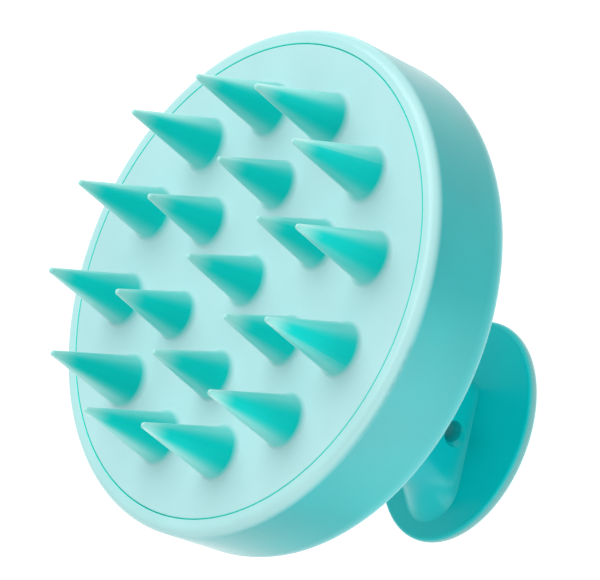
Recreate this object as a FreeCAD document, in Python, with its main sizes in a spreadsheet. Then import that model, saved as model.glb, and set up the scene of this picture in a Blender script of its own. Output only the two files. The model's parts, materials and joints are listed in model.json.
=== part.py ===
import FreeCAD, Part
import math
import os
import Sketcher
from FreeCAD import Placement, Rotation, Vector

# Scalp massager brush, in millimetres. +Z points the way the bristles point, and the brush
# stands on the flat palm face of its handle. The origin is on the body's axis, on that face.
# The handle lies off the body's axis, towards -X, and is symmetric about the XZ plane.

SIZES = {
    # body housing: a shallow round ring, open at the front for the pad, at the back for a cover
    "front_z": 58.8,            # front face of the rim, level with the pad
    "back_z": 39.5,
    "body_r": 44.0,
    "body_back_r": 43.4,        # the side is drafted towards the back
    "wall": 1.7,
    "floor_depth": 2.6,
    "opening_r": 41.12,
    "cover_opening_r": 38.3,
    "front_round": 1.6,
    "back_round": 5.2,
    "inner_round": 2.0,
    "edge_break": 0.2,
    # clearances
    "seam_gap": 0.08,
    "slip": 0.1,
    # bristle pad: one silicone moulding, held by a flange behind the rim
    "pad_depth": 3.5,
    "flange_r": 42.1,
    "flange_depth": 1.7,
    "pad_edge_round": 0.25,
    "dish_depth": 1.4,          # the pad's face is a shallow dish, deepest at the centre
    # bristles: round pointed cones with a flared root, one at the centre and two rings,
    # heights from the rim's level, each rooted as deep as the dish is at its inner side
    "root_sink": 1.0,
    "tip_round": 0.55,
    "outer_ring_r": 30.0,
    "outer_count": 12,
    "outer_turn": 21.6,
    "outer_height": 16.7,
    "outer_drop": 0.58,
    "outer_foot_r": 5.8,
    "outer_flare": 1.5,
    "inner_ring_r": 16.7,
    "inner_count": 6,
    "inner_turn": 6.5,
    "inner_height": 13.1,
    "inner_drop": 1.02,
    "inner_foot_r": 5.3,
    "inner_flare": 1.3,
    "centre_height": 12.7,
    "centre_drop": 1.22,
    # backing plate: a stiff disc behind the pad, ribbed at the back
    "plate_r": 40.6,
    "plate_depth": 2.2,
    "rib_depth": 3.0,
    "ring_rib_r": 33.4,
    "ring_rib_inner_r": 30.6,
    "hub_rib_r": 9.0,
    "hub_rib_inner_r": 6.4,
    "spoke_start": 8.0,
    "spoke_end": 31.5,
    "spoke_width": 1.8,
    "spoke_count": 6,
    # rear cover: a shallow dome with a flat seat for the handle, and posts under the plate
    "seat_z": 36.5,
    "seat_r": 25.5,
    "dome_round": 40.0,
    "cover_wall": 2.4,
    "cover_flange_r": 39.5,
    "cover_flange_depth": 1.6,
    "cover_inner_r": 36.0,
    "cover_step": 2.0,
    "post_r": 3.2,
    "post_ring_r": 32.0,
    "post_bottom_z": 39.6,
    "post_count": 6,
    # handle grip: an oval palm plate, below a neck that leans from the body's axis towards it
    "grip_x": 10.2,             # the plate's centre, towards -X
    "grip_long": 20.0,          # half length and half width
    "grip_wide": 17.0,
    "grip_depth": 2.7,
    "palm_round": 1.8,
    "grip_round": 0.8,
    "hang_x": 10.4,
    "hang_z": 5.9,
    "hang_r": 1.9,
    "hang_half": 3.3,           # half the length of the hole's straight wall
    "mouth_r": 2.9,             # a countersink opens each end to this radius
    "mouth_depth": 1.5,
    "core_x": 5.2,              # two cores in the neck, each side of the hanging hole
    "core_long": 2.2,
    "core_wide": 1.4,
    "core_top_z": 18.0,
    # palm cap: closes the cored neck, level with the palm face
    "cap_long": 12.6,
    "cap_wide": 8.6,
    "cap_depth": 1.3,
    "plug_depth": 2.4,
    # handle screws: self-tapping, driven from inside the cover down into the neck
    "screw_x": 4.5,
    "screw_spacing": 7.6,
    "screw_r": 1.45,
    "screw_reach": 9.0,
    "screw_tip": 1.4,
    "screw_tip_r": 0.4,
    "screw_hole_r": 1.5,
    "screw_hole_depth": 8.6,
    "screw_clear_r": 1.75,
    "head_r": 2.9,
    "head_depth": 2.0,
    "drive_long": 3.0,
    "drive_wide": 0.64,
    "drive_depth": 1.1,
}

# The neck's sections, from its root on the cover down into the palm plate. Each is a slot
# whose end towards -X is the wider one: height above the palm face, centre towards -X, half
# the distance between its two ends' centres, and the radius of the wide and the narrow end.
NECK = {
    "root": (36.5, 2.9, 6.4, 11.5, 10.5),
    "shoulder": (34.6, 3.4, 6.7, 9.0, 8.0),
    "upper": (30.5, 4.6, 7.3, 6.8, 5.6),
    "middle": (24.0, 6.2, 7.3, 5.6, 4.0),
    "waist": (15.5, 8.2, 7.1, 4.9, 2.9),
    "lower": (8.6, 9.9, 7.1, 5.0, 2.4),
    "flare": (4.6, 11.45, 7.75, 5.8, 2.1),
    "foot": (2.2, 12.0, 8.4, 7.2, 2.6),
}
NECK_SIZES = ("z", "centre", "spread", "wide_r", "narrow_r")

FULL_TURN = 360
TO_MINUS_Y = Rotation(Vector(1, 0, 0), 90)      # turns an axis from +Z
TO_PLUS_Y = Rotation(Vector(1, 0, 0), -90)

doc = FreeCAD.newDocument("scalp_massager_brush")
sheet = doc.addObject("Spreadsheet::Sheet", "sizes")
pieces = []


def fill_sheet():
    rows = list(SIZES.items())
    for section, values in NECK.items():
        rows += [(section + "_" + size, value) for size, value in zip(NECK_SIZES, values)]
    for row, (alias, value) in enumerate(rows, 1):
        sheet.set("A%d" % row, alias)
        sheet.set("B%d" % row, str(value))
        sheet.setAlias("B%d" % row, alias)
    doc.recompute()


# A sum of sizes is written as text, such as "body_r - wall". An empty sum is zero.

def amount(total):
    """The number that a sum of sizes comes to."""
    result = 0.0
    sign = 1
    for word in total.split():
        if word in "+-":
            sign = 1 if word == "+" else -1
        else:
            result += sign * sheet.get(word)
    return result


def formula(total):
    """The same sum as an expression that reads the sheet."""
    return " ".join(word if word in "+-" else "sizes." + word for word in total.split())


def bind(thing, path, total):
    thing.setExpression(path, formula(total))


def bind_minus(thing, path, total):
    """Bind a coordinate to a distance towards its negative side."""
    thing.setExpression(path, "-(%s)" % formula(total))


def as_piece(thing, label):
    thing.Label = label
    pieces.append(thing)


# ---- bodies, sketches and features ----

def new_body(name):
    return doc.addObject("PartDesign::Body", name)


def datum(body, role):
    return next(item for item in body.Origin.OriginFeatures if item.Role == role)


def new_sketch(body, name, plane):
    sketch = body.newObject("Sketcher::SketchObject", name)
    sketch.AttachmentSupport = [(datum(body, plane), "")]
    sketch.MapMode = "FlatFace"
    return sketch


def dimension(sketch, name, total, kind, *places):
    """Add a named dimension, bound to a sum of sizes."""
    index = sketch.addConstraint(Sketcher.Constraint(kind, *places, amount(total)))
    sketch.renameConstraint(index, name)
    bind(sketch, "Constraints." + name, total)


def rule(sketch, kind, *places):
    sketch.addConstraint(Sketcher.Constraint(kind, *places))


def outline(sketch, corners):
    """A closed outline of straight lines. A corner is (across, up), both sums of sizes."""
    points = [Vector(amount(across), amount(up), 0) for across, up in corners]
    for start, end in zip(points, points[1:] + points[:1]):
        sketch.addGeometry(Part.LineSegment(start, end))
    for line, (across, up) in enumerate(corners):
        rule(sketch, "Coincident", line, 2, (line + 1) % len(corners), 1)
        if across:
            dimension(sketch, "across%d" % line, across, "DistanceX", -1, 1, line, 1)
        else:
            rule(sketch, "PointOnObject", line, 1, -2)
        if up:
            dimension(sketch, "up%d" % line, up, "DistanceY", -1, 1, line, 1)
        else:
            rule(sketch, "PointOnObject", line, 1, -1)


def revolve(body, name, sketch):
    feature = body.newObject("PartDesign::Revolution", name)
    feature.Profile = sketch
    feature.ReferenceAxis = (sketch, ["V_Axis"])
    feature.Angle = FULL_TURN
    return feature


def turned(body, name, corners):
    sketch = new_sketch(body, name + "_outline", "XZ_Plane")
    outline(sketch, corners)
    return revolve(body, name, sketch)


def extrude(body, name, sketch, depth, reverse=False):
    feature = body.newObject("PartDesign::Pad", name)
    feature.Profile = sketch
    feature.Reversed = reverse
    bind(feature, "Length", depth)
    return feature


def around(body, name, feature, count):
    """Repeat a feature around the body's axis."""
    pattern = body.newObject("PartDesign::PolarPattern", name)
    pattern.Originals = [feature]
    pattern.Axis = (datum(body, "Z_Axis"), [""])
    pattern.Angle = FULL_TURN
    bind(pattern, "Occurrences", count)
    body.Tip = pattern


def level_edges(shape, height, radius):
    """Names of the closed edges that lie level at a height, of one radius if it is given."""
    names = []
    for number, edge in enumerate(shape.Edges, 1):
        if not isinstance(edge.Curve, (Part.Circle, Part.Ellipse)):
            continue
        if abs(edge.Curve.Center.z - height) > 0.01 or edge.BoundBox.ZLength > 0.01:
            continue
        if radius is None or abs(edge.Curve.Radius - radius) < 0.01:
            names.append("Edge%d" % number)
    return names


def round_edge(body, name, size, height, radius=None):
    doc.recompute()
    base = body.Tip
    names = level_edges(base.Shape, amount(height), amount(radius) if radius else None)
    if not names:
        raise RuntimeError("no edge to round: " + name)
    feature = body.newObject("PartDesign::Fillet", name)
    feature.Base = (base, names)
    bind(feature, "Radius", size)


def oval_sketch(body, name, centre, height, half_long, half_wide):
    """An oval, level at a height, long towards X, with its centre moved towards -X."""
    sketch = new_sketch(body, name, "XY_Plane")
    bind_minus(sketch, "AttachmentOffset.Base.x", centre)
    if height:
        bind(sketch, "AttachmentOffset.Base.z", height)
    oval = Part.Ellipse(Vector(0, 0, 0), amount(half_long), amount(half_wide))
    sketch.addGeometry(oval)
    sketch.exposeInternalGeometry(0)
    rule(sketch, "Coincident", 0, 3, -1, 1)
    rule(sketch, "Horizontal", 1)
    dimension(sketch, "half_long", half_long, "Distance", 0, 3, 1, 1)
    dimension(sketch, "half_wide", half_wide, "Distance", 0, 3, 2, 1)
    return sketch


def oval_pad(body, name, centre, height, half_long, half_wide, depth):
    sketch = oval_sketch(body, name + "_outline", centre, height, half_long, half_wide)
    return extrude(body, name, sketch, depth)


# ---- primitives ----

def oval_curve(name, centre, height, half_long, half_wide):
    curve = doc.addObject("Part::Ellipse", name)
    bind(curve, "MajorRadius", half_long)
    bind(curve, "MinorRadius", half_wide)
    bind_minus(curve, "Placement.Base.x", centre)
    if height:
        bind(curve, "Placement.Base.z", height)
    return curve


def oval_block(name, centre, height, half_long, half_wide, depth):
    block = doc.addObject("Part::Extrusion", name)
    block.Base = oval_curve(name + "_oval", centre, height, half_long, half_wide)
    block.DirMode = "Custom"
    block.Dir = Vector(0, 0, 1)
    block.Solid = True
    bind(block, "LengthFwd", depth)
    return block


def post(name, radius, depth, centre, height):
    """An upright cylinder, moved towards -X."""
    cylinder = doc.addObject("Part::Cylinder", name)
    bind(cylinder, "Radius", radius)
    bind(cylinder, "Height", depth)
    bind_minus(cylinder, "Placement.Base.x", centre)
    bind(cylinder, "Placement.Base.z", height)
    return cylinder


def joined(name, shapes):
    fuse = doc.addObject("Part::MultiFuse", name)
    fuse.Shapes = shapes
    return fuse


def cut_away(name, base, tools):
    cut = doc.addObject("Part::Cut", name)
    cut.Base = base
    cut.Tool = joined(name + "_tools", tools)
    return cut


# ---- pieces ----

def make_body_housing():
    body = new_body("body_housing")
    turned(body, "ring", [
        ("opening_r", "front_z"),
        ("body_r", "front_z"),
        ("body_back_r", "back_z"),
        ("cover_opening_r", "back_z"),
        ("cover_opening_r", "back_z + floor_depth"),
        ("body_back_r - wall", "back_z + floor_depth"),
        ("body_r - wall", "front_z - wall"),
        ("opening_r", "front_z - wall"),
    ])
    round_edge(body, "front_rounding", "front_round", "front_z", "body_r")
    round_edge(body, "back_rounding", "back_round", "back_z", "body_back_r")
    round_edge(body, "inner_rounding", "inner_round", "back_z + floor_depth",
               "body_back_r - wall")
    round_edge(body, "opening_break", "edge_break", "front_z", "opening_r")
    round_edge(body, "cover_break", "edge_break", "back_z", "cover_opening_r")
    as_piece(body, "body_housing")


def place_on_pad(sketch, drop, ring, turn):
    bind(sketch, "AttachmentOffset.Base.y", "front_z - " + drop)
    if ring:
        place = "sizes.%s * %s(sizes.%s * 1 deg)"
        sketch.setExpression("AttachmentOffset.Base.x", place % (ring, "cos", turn))
        sketch.setExpression("AttachmentOffset.Base.z", "-" + place % (ring, "sin", turn))


def bristle(body, name, top, drop, foot, flare, ring="", turn=""):
    """One cone: a hollow flare at the root, a straight flank and a rounded tip."""
    height = "%s + %s" % (top, drop)
    sketch = new_sketch(body, name + "_outline", "XZ_Plane")
    place_on_pad(sketch, drop, ring, turn)
    tip, sink = amount("tip_round"), amount("root_sink")
    foot_point = Vector(amount(foot), 0, 0)
    peak = Vector(0, amount(height), 0)
    flare_middle = foot_point + Vector(0, amount(flare), 0)
    tip_middle = peak - Vector(0, tip, 0)
    # the flank touches both circles, so its slope follows from them
    apart = flare_middle - tip_middle
    lean = math.atan2(apart.y, apart.x) + math.acos((amount(flare) + tip) / apart.Length)
    facing = Vector(math.cos(lean), math.sin(lean), 0)
    flank_bottom = flare_middle - facing * amount(flare)
    flank_top = tip_middle + facing * tip
    under_foot = Vector(amount(foot), -sink, 0)
    under_peak = Vector(0, -sink, 0)
    flat = Vector(0, 0, 1)
    flare_circle = Part.Circle(flare_middle, flat, amount(flare))
    tip_circle = Part.Circle(tip_middle, flat, tip)
    sketch.addGeometry([
        Part.LineSegment(under_peak, under_foot),
        Part.LineSegment(under_foot, foot_point),
        Part.ArcOfCircle(flare_circle, math.pi + lean, 1.5 * math.pi),
        Part.LineSegment(flank_bottom, flank_top),
        Part.ArcOfCircle(tip_circle, lean, 0.5 * math.pi),
        Part.LineSegment(peak, under_peak),
    ])
    base, wall, flare_arc, flank, tip_arc, axis = range(6)
    rule(sketch, "Coincident", base, 2, wall, 1)
    rule(sketch, "Coincident", wall, 2, flare_arc, 2)
    rule(sketch, "Tangent", flare_arc, 1, flank, 1)
    rule(sketch, "Tangent", flank, 2, tip_arc, 1)
    rule(sketch, "Coincident", tip_arc, 2, axis, 1)
    rule(sketch, "Coincident", axis, 2, base, 1)
    rule(sketch, "Horizontal", base)
    rule(sketch, "Vertical", wall)
    rule(sketch, "PointOnObject", wall, 2, -1)
    rule(sketch, "PointOnObject", axis, 1, -2)
    rule(sketch, "PointOnObject", axis, 2, -2)
    rule(sketch, "PointOnObject", tip_arc, 3, -2)
    rule(sketch, "Vertical", flare_arc, 3, wall, 2)
    dimension(sketch, "foot", foot, "DistanceX", -1, 1, wall, 2)
    dimension(sketch, "height", height, "DistanceY", -1, 1, axis, 1)
    dimension(sketch, "sink", "root_sink", "DistanceY", axis, 2, -1, 1)
    dimension(sketch, "flare", flare, "Radius", flare_arc)
    dimension(sketch, "tip", "tip_round", "Radius", tip_arc)
    return revolve(body, name, sketch)


def make_bristle_pad():
    body = new_body("bristle_pad")
    turned(body, "base", [
        ("", "front_z - pad_depth"),
        ("flange_r", "front_z - pad_depth"),
        ("flange_r", "front_z - wall - slip"),
        ("opening_r - seam_gap", "front_z - wall - slip"),
        ("opening_r - seam_gap", "front_z"),
        ("", "front_z - dish_depth"),
    ])
    round_edge(body, "edge_rounding", "pad_edge_round", "front_z", "opening_r - seam_gap")
    outer = bristle(body, "outer_bristle", "outer_height", "outer_drop", "outer_foot_r",
                    "outer_flare", "outer_ring_r", "outer_turn")
    around(body, "outer_bristles", outer, "outer_count")
    inner = bristle(body, "inner_bristle", "inner_height", "inner_drop", "inner_foot_r",
                    "inner_flare", "inner_ring_r", "inner_turn")
    around(body, "inner_bristles", inner, "inner_count")
    bristle(body, "centre_bristle", "centre_height", "centre_drop", "inner_foot_r",
            "inner_flare")
    as_piece(body, "bristle_pad")


def make_backing_plate():
    body = new_body("backing_plate")
    top = "front_z - pad_depth"
    under = top + " - plate_depth"
    ribs = under + " - rib_depth"
    turned(body, "disc", [("", under), ("plate_r", under), ("plate_r", top), ("", top)])
    for name in ("ring_rib", "hub_rib"):
        inner, outer = name + "_inner_r", name + "_r"
        turned(body, name, [(inner, ribs), (outer, ribs), (outer, under), (inner, under)])
    sketch = new_sketch(body, "spoke_outline", "XZ_Plane")
    outline(sketch, [("spoke_start", ribs), ("spoke_end", ribs),
                     ("spoke_end", under), ("spoke_start", under)])
    spoke = extrude(body, "spoke", sketch, "spoke_width")
    spoke.Midplane = True
    around(body, "spokes", spoke, "spoke_count")
    as_piece(body, "backing_plate")


def make_rear_cover():
    body = new_body("cover_body")
    rim_r = "cover_opening_r - seam_gap"
    ledge = "back_z + floor_depth"
    brim = ledge + " + cover_flange_depth"
    floor = "seat_z + cover_wall"
    turned(body, "dome", [
        ("", "seat_z"),
        ("seat_r", "seat_z"),
        (rim_r, "back_z"),
        (rim_r, ledge),
        ("cover_flange_r", ledge),
        ("cover_flange_r", brim),
        ("cover_inner_r", brim),
        ("cover_inner_r", brim + " - cover_step"),
        ("seat_r", floor),
        ("", floor),
    ])
    round_edge(body, "dome_rounding", "dome_round", "seat_z", "seat_r")
    round_edge(body, "rim_break", "edge_break", "back_z", rim_r)
    sketch = new_sketch(body, "post_outline", "XY_Plane")
    top = "front_z - pad_depth - plate_depth - rib_depth"
    bind(sketch, "AttachmentOffset.Base.z", "post_bottom_z")
    centre = Vector(amount("post_ring_r"), 0, 0)
    sketch.addGeometry(Part.Circle(centre, Vector(0, 0, 1), amount("post_r")))
    rule(sketch, "PointOnObject", 0, 3, -1)
    dimension(sketch, "ring", "post_ring_r", "DistanceX", -1, 1, 0, 3)
    dimension(sketch, "size", "post_r", "Radius", 0)
    support = extrude(body, "support", sketch, top + " - post_bottom_z")
    around(body, "supports", support, "post_count")
    holes = [post("cover_hole%d" % number, "screw_clear_r", "cover_wall + cover_wall",
                  place, "seat_z - slip")
             for number, place in enumerate(screw_places(), 1)]
    as_piece(cut_away("cover_drilled", body, holes), "rear_cover")


def screw_places():
    return ("screw_x + screw_spacing", "screw_x - screw_spacing")


def neck_section(name):
    sketch = doc.addObject("Sketcher::SketchObject", name + "_section")
    bind_minus(sketch, "Placement.Base.x", name + "_centre")
    bind(sketch, "Placement.Base.z", name + "_z")
    spread, wide, narrow = (amount(name + "_" + size) for size in NECK_SIZES[2:])
    # the sides touch both ends, so their slope follows from them
    lean = math.asin((wide - narrow) / (2 * spread))
    plus_side = Vector(math.sin(lean), math.cos(lean), 0)
    minus_side = Vector(math.sin(lean), -math.cos(lean), 0)
    touch = math.pi / 2 - lean
    wide_middle = Vector(-spread, 0, 0)
    narrow_middle = Vector(spread, 0, 0)
    flat = Vector(0, 0, 1)
    narrow_circle = Part.Circle(narrow_middle, flat, narrow)
    wide_circle = Part.Circle(wide_middle, flat, wide)
    sketch.addGeometry([
        Part.LineSegment(wide_middle + plus_side * wide, narrow_middle + plus_side * narrow),
        Part.ArcOfCircle(narrow_circle, -touch, touch),
        Part.LineSegment(narrow_middle + minus_side * narrow, wide_middle + minus_side * wide),
        Part.ArcOfCircle(wide_circle, touch, 2 * math.pi - touch),
    ])
    plus_line, narrow_arc, minus_line, wide_arc = range(4)
    rule(sketch, "Tangent", plus_line, 2, narrow_arc, 2)
    rule(sketch, "Tangent", narrow_arc, 1, minus_line, 1)
    rule(sketch, "Tangent", minus_line, 2, wide_arc, 2)
    rule(sketch, "Tangent", wide_arc, 1, plus_line, 1)
    rule(sketch, "PointOnObject", narrow_arc, 3, -1)
    rule(sketch, "PointOnObject", wide_arc, 3, -1)
    dimension(sketch, "narrow_place", name + "_spread", "DistanceX", -1, 1, narrow_arc, 3)
    dimension(sketch, "wide_place", name + "_spread", "DistanceX", wide_arc, 3, -1, 1)
    dimension(sketch, "narrow_r", name + "_narrow_r", "Radius", narrow_arc)
    dimension(sketch, "wide_r", name + "_wide_r", "Radius", wide_arc)
    return sketch


def place_at_hole(thing, turn):
    thing.Placement = Placement(Vector(0, 0, 0), turn)
    bind_minus(thing, "Placement.Base.x", "hang_x")
    bind(thing, "Placement.Base.z", "hang_z")


def hole_mouth(name, turn):
    """A countersink that opens outwards from the end of the hole's straight wall."""
    mouth = doc.addObject("Part::Cone", name)
    bind(mouth, "Radius1", "hang_r")
    bind(mouth, "Radius2", "mouth_r")
    bind(mouth, "Height", "mouth_depth")
    place_at_hole(mouth, turn)
    return mouth


def make_handle_grip():
    plate = new_body("palm_plate")
    oval_pad(plate, "plate", "grip_x", "", "grip_long", "grip_wide", "grip_depth")
    round_edge(plate, "grip_rounding", "grip_round", "grip_depth")
    round_edge(plate, "palm_rounding", "palm_round", "")
    neck = doc.addObject("Part::Loft", "neck")
    neck.Sections = [neck_section(name) for name in reversed(NECK)]
    neck.Solid = True
    hole = doc.addObject("Part::Cylinder", "hanging_hole")
    bind(hole, "Radius", "hang_r")
    bind(hole, "Height", "hang_half + hang_half")
    place_at_hole(hole, TO_MINUS_Y)
    bind(hole, "Placement.Base.y", "hang_half")
    mouth_minus_y = hole_mouth("mouth_minus_y", TO_MINUS_Y)
    bind_minus(mouth_minus_y, "Placement.Base.y", "hang_half")
    mouth_plus_y = hole_mouth("mouth_plus_y", TO_PLUS_Y)
    bind(mouth_plus_y, "Placement.Base.y", "hang_half")
    recess = oval_block("cap_recess", "grip_x", "", "cap_long + slip", "cap_wide + slip",
                        "cap_depth")
    cores = [oval_block(name, centre, "", "core_long", "core_wide", "core_top_z")
             for name, centre in core_places("core")]
    screw_holes = [post("screw_hole%d" % number, "screw_hole_r", "screw_hole_depth + slip",
                        place, "seat_z - screw_hole_depth")
                   for number, place in enumerate(screw_places(), 1)]
    whole = joined("grip_blank", [plate, neck])
    tools = [hole, mouth_minus_y, mouth_plus_y, recess] + cores + screw_holes
    as_piece(cut_away("grip_cut", whole, tools), "handle_grip")


def core_places(name):
    return ((name + "_far", "grip_x + core_x"), (name + "_near", "grip_x - core_x"))


def make_palm_cap():
    cap = new_body("cap_body")
    oval_pad(cap, "cap", "grip_x", "", "cap_long", "cap_wide", "cap_depth")
    for name, centre in core_places("plug"):
        oval_pad(cap, name, centre, "", "core_long - slip", "core_wide - slip",
                 "cap_depth + plug_depth")
    as_piece(cap, "palm_cap")


def make_screw(number, place):
    """A pan-head screw, point down, with a cross recess in its head."""
    floor = "seat_z + cover_wall"
    name = "screw%d" % number
    shank = post(name + "_shank", "screw_r", "screw_reach", place, floor + " - screw_reach")
    head = post(name + "_head", "head_r", "head_depth", place, floor)
    tip = doc.addObject("Part::Cone", name + "_tip")
    bind(tip, "Radius1", "screw_tip_r")
    bind(tip, "Radius2", "screw_r")
    bind(tip, "Height", "screw_tip")
    bind_minus(tip, "Placement.Base.x", place)
    bind(tip, "Placement.Base.z", floor + " - screw_reach - screw_tip")
    slots = []
    for turn, length, width in (("x", "drive_long", "drive_wide"),
                                ("y", "drive_wide", "drive_long")):
        slot = doc.addObject("Part::Box", name + "_slot_" + turn)
        bind(slot, "Length", length)
        bind(slot, "Width", width)
        bind(slot, "Height", "drive_depth + slip")
        slot.setExpression("Placement.Base.x", "-(%s) - sizes.%s / 2" % (formula(place), length))
        slot.setExpression("Placement.Base.y", "-sizes.%s / 2" % width)
        bind(slot, "Placement.Base.z", floor + " + head_depth - drive_depth")
        slots.append(slot)
    return cut_away(name, joined(name + "_blank", [shank, head, tip]), slots)


def make_handle_screws():
    group = doc.addObject("Part::Compound", "screw_group")
    group.Links = [make_screw(number, place)
                   for number, place in enumerate(screw_places(), 1)]
    as_piece(group, "handle_screws")


def check_document():
    for thing in doc.Objects:
        if "Invalid" in thing.State or "Error" in thing.State:
            raise RuntimeError("%s failed: %s" % (thing.Name, thing.State))
    for thing in pieces:
        shape = thing.Shape
        if shape.isNull() or not shape.isValid() or not shape.Solids:
            raise RuntimeError("bad shape: " + thing.Label)


def write_pieces():
    os.makedirs("parts", exist_ok=True)
    for thing in pieces:
        thing.Shape.exportStep("parts/%s.step" % thing.Label)
        print("%-14s solids %2d  volume %9.1f mm3"
              % (thing.Label, len(thing.Shape.Solids), thing.Shape.Volume))


fill_sheet()
make_body_housing()
make_bristle_pad()
make_backing_plate()
make_rear_cover()
make_handle_grip()
make_palm_cap()
make_handle_screws()
doc.recompute()
check_document()
write_pieces()
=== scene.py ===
import json
import math

import bpy
from mathutils import Matrix, Vector


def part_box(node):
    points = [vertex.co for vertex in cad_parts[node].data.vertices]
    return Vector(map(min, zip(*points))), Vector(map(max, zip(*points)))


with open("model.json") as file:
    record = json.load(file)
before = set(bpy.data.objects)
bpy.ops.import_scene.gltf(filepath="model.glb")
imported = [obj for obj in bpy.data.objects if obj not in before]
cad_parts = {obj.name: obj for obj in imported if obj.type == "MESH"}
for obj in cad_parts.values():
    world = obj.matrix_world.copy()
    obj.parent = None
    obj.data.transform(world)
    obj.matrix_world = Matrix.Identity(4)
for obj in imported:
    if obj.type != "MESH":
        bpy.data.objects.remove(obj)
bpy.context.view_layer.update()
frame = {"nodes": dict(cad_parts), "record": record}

PAD_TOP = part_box("body_housing")[1][2]
NECK_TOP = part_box("handle_grip")[1][2]
MIDDLE = (0, 0, 0.05)            # what the lamps point at, inside the body
OPENING_RADIUS = 0.04112         # of the housing's opening, where the seam lies
DISH_DEPTH = 0.0014              # of the pad's dish, at its centre


# ---- camera: level along +Y, tipped down, and rolled about its own axis ----

CAMERA_DISTANCE = 0.805
CAMERA_DOWN = math.radians(39.6)
CAMERA_ROLL = math.radians(-67.4)
CAMERA_TARGET = Vector((0.0019, 0.0008, 0.0460))
CAMERA_LENS = 289.5


def add_camera():
    data = bpy.data.cameras.new("main_camera")
    data.lens = CAMERA_LENS
    data.sensor_width = 36
    data.clip_start = 0.05
    data.clip_end = 50
    camera = bpy.data.objects.new("main_camera", data)
    bpy.context.collection.objects.link(camera)
    towards = Vector((0, math.cos(CAMERA_DOWN), -math.sin(CAMERA_DOWN)))
    level = towards.to_track_quat("-Z", "Y").to_matrix().to_4x4()
    camera.matrix_world = (Matrix.Translation(CAMERA_TARGET - towards * CAMERA_DISTANCE)
                           @ level @ Matrix.Rotation(CAMERA_ROLL, 4, "Z"))
    bpy.context.scene.camera = camera


# ---- node helpers ----

class Graph:
    """A material's node tree, with short calls to add and join nodes."""

    def __init__(self, name):
        self.material = bpy.data.materials.new(name)
        self.material.use_nodes = True
        self.tree = self.material.node_tree
        self.tree.nodes.clear()
        self.shader = self.add("ShaderNodeBsdfPrincipled")
        output = self.add("ShaderNodeOutputMaterial")
        self.join(self.shader.outputs["BSDF"], output.inputs["Surface"])
        self.place = self.add("ShaderNodeTexCoord").outputs["Object"]

    def add(self, kind, **settings):
        node = self.tree.nodes.new(kind)
        for key, value in settings.items():
            setattr(node, key, value)
        return node

    def join(self, source, target):
        self.tree.links.new(source, target)

    def noise(self, scale, detail):
        node = self.add("ShaderNodeTexNoise")
        node.inputs["Scale"].default_value = scale
        node.inputs["Detail"].default_value = detail
        self.join(self.place, node.inputs["Vector"])
        return node.outputs["Fac"]

    def spread(self, source, low, high, from_low=0.3, from_high=0.7, smooth=False):
        node = self.add("ShaderNodeMapRange")
        if smooth:
            node.interpolation_type = "SMOOTHSTEP"
        self.join(source, node.inputs["Value"])
        node.inputs["From Min"].default_value = from_low
        node.inputs["From Max"].default_value = from_high
        node.inputs["To Min"].default_value = low
        node.inputs["To Max"].default_value = high
        return node.outputs["Result"]

    def blend(self, factor, first, second):
        """A colour between two others. Each is a colour or another node's output.

        The Mix node's inputs 6 and 7 and its output 2 are the ones for colours.
        """
        node = self.add("ShaderNodeMix", data_type="RGBA")
        self.join(factor, node.inputs["Factor"])
        for socket, value in ((node.inputs[6], first), (node.inputs[7], second)):
            if isinstance(value, tuple):
                socket.default_value = (*value, 1.0)
            else:
                self.join(value, socket)
        return node.outputs[2]

    def height(self, *layers):
        """Bump from (source, depth in metres) layers, added one on another."""
        normal = None
        for source, depth in layers:
            node = self.add("ShaderNodeBump")
            node.inputs["Strength"].default_value = 1.0
            node.inputs["Distance"].default_value = depth
            self.join(source, node.inputs["Height"])
            if normal:
                self.join(normal, node.inputs["Normal"])
            normal = node.outputs["Normal"]
        self.join(normal, self.shader.inputs["Normal"])

    def up(self):
        """The height above the palm face."""
        node = self.add("ShaderNodeSeparateXYZ")
        self.join(self.place, node.inputs[0])
        return node.outputs["Z"]

    def reach(self, x=0.0, y=0.0):
        """The distance, seen from above, from an upright line."""
        node = self.add("ShaderNodeVectorMath", operation="SUBTRACT")
        self.join(self.place, node.inputs[0])
        node.inputs[1].default_value = (x, y, 0)
        flat = self.add("ShaderNodeVectorMath", operation="MULTIPLY")
        self.join(node.outputs["Vector"], flat.inputs[0])
        flat.inputs[1].default_value = (1, 1, 0)
        length = self.add("ShaderNodeVectorMath", operation="LENGTH")
        self.join(flat.outputs["Vector"], length.inputs[0])
        return length.outputs["Value"]

    def math(self, operation, first, second):
        """Two values put together. Each is a number or another node's output."""
        node = self.add("ShaderNodeMath", operation=operation)
        for socket, value in zip(node.inputs, (first, second)):
            if isinstance(value, float):
                socket.default_value = value
            else:
                self.join(value, socket)
        return node.outputs[0]

    def edge(self, low, high):
        """How far the surface turns away, for gloss: 0 at `low`, 1 at `high`."""
        node = self.add("ShaderNodeLayerWeight")
        node.inputs["Blend"].default_value = 0.5
        return self.spread(node.outputs["Facing"], 0, 1, low, high, True)

    def colour(self, source):
        self.join(source, self.shader.inputs["Base Color"])

    def roughness(self, source):
        self.join(source, self.shader.inputs["Roughness"])

    def fix(self, **values):
        """Numbers that are the same all over, set on the shader's own sockets."""
        for key, value in values.items():
            self.shader.inputs[key.replace("_", " ")].default_value = value


# ---- materials ----

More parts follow.
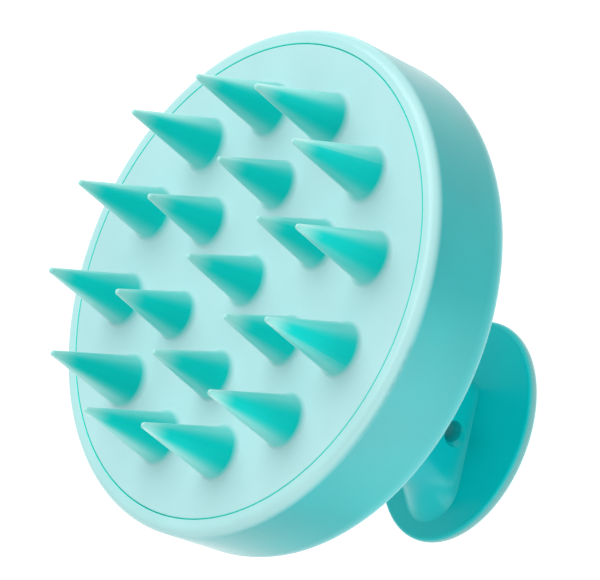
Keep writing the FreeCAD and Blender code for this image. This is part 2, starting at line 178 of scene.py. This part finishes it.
SEAM_TEAL = (0.02, 0.80, 0.70)
SEAM_ON_PAD = (OPENING_RADIUS - 0.00025, OPENING_RADIUS - 0.00012)
SEAM_ON_RIM = (OPENING_RADIUS + 0.00003, OPENING_RADIUS + 0.00015)
PALM_EDGE = (0.0001, 0.0006)     # heights where the palm face ends and the plate's side starts
PLATE_TURN = (0.0018, 0.0026)    # where the plate's side turns into its upper face
NECK_SHADE = (0.0035, 0.0095)    # where the plate's tone gives way to the neck's painted shade
NECK_END = (NECK_TOP - 0.004, NECK_TOP + 0.002)
RIM_START = (PAD_TOP - 0.0020, PAD_TOP - 0.0004)
ROOT_RISE = (PAD_TOP + 0.0001, PAD_TOP + 0.0010)
RING_GAP = (0.0215, 0.0235)      # between the two rings of bristles
TIP_HEIGHTS = (0.0128, 0.0167)   # of the inner and the outer bristles
TIP_FADE = (-0.0050, -0.0005)    # heights from a bristle's tip, between which it turns paler, as painted light coming through the tip


def gloss_abs():
    """Glossy teal moulded ABS. Its paler front edge and the plate's paler side are painted
    highlights, its darker upper grip is painted shade, and the grip is toned lighter than the
    housing as painted light.
    """
    graph = Graph("gloss_abs")
    tone = graph.spread(graph.noise(55, 2.0), 0, 1)
    saturated_teal = graph.blend(tone, (0.000, 0.61, 0.62), (0.001, 0.67, 0.68))
    # Painted highlight: the plate's rounded side is a paler teal, standing in for the light it
    # reflects.
    side = graph.spread(graph.up(), 1, 0, *PLATE_TURN, True)
    highlit_side = graph.blend(side, saturated_teal, (0.17, 0.46, 0.46))
    plate = graph.blend(graph.spread(graph.up(), 0, 1, *PALM_EDGE), saturated_teal, highlit_side)
    # Painted shade: the neck darkens upwards, into the shade under the body.
    shaded_neck = graph.blend(tone, (0.000, 0.48, 0.51), (0.001, 0.53, 0.56))
    grip = graph.blend(graph.spread(graph.up(), 0, 1, *NECK_SHADE, True), plate, shaded_neck)
    # Painted light and shade: the housing's teal is darker and the grip's lighter, one ABS
    # toned apart to offset how light falls, with the grip in the shade under the body.
    body = graph.blend(tone, (0.000, 0.30, 0.31), (0.001, 0.34, 0.35))
    # Painted highlight: the front rim is a pale teal, standing in for the soft light it
    # reflects.
    highlit_rim = graph.blend(tone, (0.41, 0.73, 0.73), (0.45, 0.77, 0.77))
    above = graph.spread(graph.up(), 0, 1, *NECK_END, True)
    front = graph.spread(graph.up(), 0, 1, *RIM_START, True)
    outside = graph.spread(graph.reach(), 0, 1, *SEAM_ON_RIM)
    lip = graph.blend(outside, SEAM_TEAL, highlit_rim)
    graph.colour(graph.blend(front, graph.blend(above, grip, body), lip))
    graph.roughness(graph.spread(graph.noise(110, 1.0), 0.21, 0.27))
    graph.height((graph.noise(420, 1.0), 0.000008))
    graph.fix(IOR=1.42)
    return graph.material


def silicone():
    """Satin silicone in a deep teal, with painted haze making the pad pale and painted light
    making the bristles' tips paler.
    """
    graph = Graph("satin_silicone")
    dish = graph.spread(graph.reach(), DISH_DEPTH, 0, 0, OPENING_RADIUS)
    level = graph.math("ADD", graph.up(), dish)
    rise = graph.spread(level, 0, 1, *ROOT_RISE)
    tone = graph.spread(graph.noise(60, 2.0), 0, 1)
    # Painted haze: the pad is a pale teal, standing in for the sheen and light on it; the
    # bristles keep the deeper teal.
    pad = graph.blend(tone, (0.42, 0.70, 0.71), (0.46, 0.74, 0.75))
    saturated_teal = graph.blend(tone, (0.000, 0.59, 0.54), (0.001, 0.65, 0.60))
    # Painted light: each bristle turns paler near its tip, as if light came through it.
    drop = graph.spread(graph.reach(), -TIP_HEIGHTS[0], -TIP_HEIGHTS[1], *RING_GAP)
    above_tip = graph.math("ADD", graph.math("ADD", graph.up(), drop), -PAD_TOP)
    tip_light = graph.spread(above_tip, 0, 0.75, *TIP_FADE, True)
    cone = graph.blend(tip_light, saturated_teal, (0.42, 0.78, 0.74))
    edge = graph.spread(graph.reach(), 0, 1, *SEAM_ON_PAD)
    graph.colour(graph.blend(edge, graph.blend(rise, pad, cone), SEAM_TEAL))
    graph.roughness(graph.spread(graph.noise(500, 4.0), 0.46, 0.56))
    graph.height((graph.noise(900, 2.0), 0.000010), (graph.noise(6000, 2.0), 0.000002))
    haze = graph.math("MULTIPLY", graph.edge(0.12, 0.5), rise)
    graph.join(haze, graph.shader.inputs["Coat Weight"])
    graph.fix(IOR=1.41, Specular_IOR_Level=0.1, Sheen_Weight=0.5, Sheen_Roughness=0.30,
              Coat_Roughness=0.5, Coat_IOR=3.2)
    return graph.material


def inner_plastic():
    """Undyed plastic of the parts that don't show, with a coarse moulded grain."""
    graph = Graph("inner_plastic")
    tone = graph.spread(graph.noise(90, 3.0), 0, 1)
    graph.colour(graph.blend(tone, (0.72, 0.76, 0.74), (0.80, 0.83, 0.81)))
    graph.roughness(graph.spread(graph.noise(700, 3.0), 0.45, 0.6))
    graph.height((graph.noise(2600, 3.0), 0.00002))
    return graph.material


def screw_steel():
    """Plain steel, slightly dull, with a fine uneven grain."""
    graph = Graph("screw_steel")
    tone = graph.spread(graph.noise(1200, 4.0), 0, 1)
    graph.colour(graph.blend(tone, (0.50, 0.50, 0.51), (0.66, 0.66, 0.67)))
    graph.roughness(graph.spread(graph.noise(3000, 4.0), 0.25, 0.42))
    graph.height((graph.noise(8000, 2.0), 0.000004))
    graph.fix(Metallic=1.0)
    return graph.material


SLOTS = {
    "teal_abs": gloss_abs,
    "teal_silicone": silicone,
    "inner_plastic": inner_plastic,
    "screw_steel": screw_steel,
}


def dress_nodes():
    finishes = {slot: make() for slot, make in SLOTS.items()}
    for part in frame["record"]["subparts"]:
        node = frame["nodes"][part["node"]]
        for place in node.material_slots:
            place.material = finishes[part["material_slot"]]


# ---- stage: a pale floor that gives off light, and soft light mostly from above the pad ----

FLOOR_SIZE = 12
FLOOR_DROP = 0.0003              # keeps the floor just clear of the palm face
FLOOR_STRENGTH = 0.9
GLOW_PLACE = (-0.045, -0.120)    # the floor's brighter patch, which the side band mirrors
GLOW_STRENGTH = 3.3
GLOW_CORE = 0.02
GLOW_RADIUS = 0.105
WORLD_STRENGTH = 0.62


def add_floor():
    bpy.ops.mesh.primitive_plane_add(size=FLOOR_SIZE, location=(0, 0, -FLOOR_DROP))
    floor = bpy.context.object
    floor.name = "floor"
    graph = Graph("pale_floor")
    tone = graph.spread(graph.noise(3, 2.0), 0, 1)
    graph.colour(graph.blend(tone, (0.38, 0.38, 0.38), (0.40, 0.40, 0.40)))
    graph.fix(Roughness=0.8, Emission_Color=(1, 1, 1, 1))
    glow = graph.spread(graph.reach(*GLOW_PLACE), GLOW_STRENGTH, FLOOR_STRENGTH,
                        GLOW_CORE, GLOW_RADIUS, True)
    graph.join(glow, graph.shader.inputs["Emission Strength"])
    floor.data.materials.append(graph.material)


def add_softbox(name, place, width, height, power):
    data = bpy.data.lights.new(name, "AREA")
    data.shape = "RECTANGLE"
    data.size = width
    data.size_y = height
    data.energy = power
    light = bpy.data.objects.new(name, data)
    bpy.context.collection.objects.link(light)
    aim = Vector(MIDDLE) - Vector(place)
    light.rotation_euler = aim.to_track_quat("-Z", "Y").to_euler()
    light.location = place


def add_world(strength):
    world = bpy.data.worlds.new("studio")
    world.use_nodes = True
    background = world.node_tree.nodes["Background"]
    background.inputs["Color"].default_value = (1, 1, 1, 1)
    background.inputs["Strength"].default_value = strength
    bpy.context.scene.world = world


def around(azimuth, elevation, distance):
    """A place on a sphere round the body, from angles in degrees; azimuth 0 is +X."""
    turn, rise = math.radians(azimuth), math.radians(elevation)
    level = distance * math.cos(rise)
    return (MIDDLE[0] + level * math.cos(turn), MIDDLE[1] + level * math.sin(turn),
            MIDDLE[2] + distance * math.sin(rise))


def add_stage():
    add_floor()
    add_softbox("top", around(azimuth=35, elevation=62, distance=0.9), 0.8, 0.8, power=5.6)
    add_softbox("fill", around(azimuth=-125, elevation=25, distance=1.3), 0.8, 0.5, power=1.8)
    add_world(WORLD_STRENGTH)
    bpy.context.scene.view_settings.view_transform = "Standard"


add_camera()
dress_nodes()
add_stage()
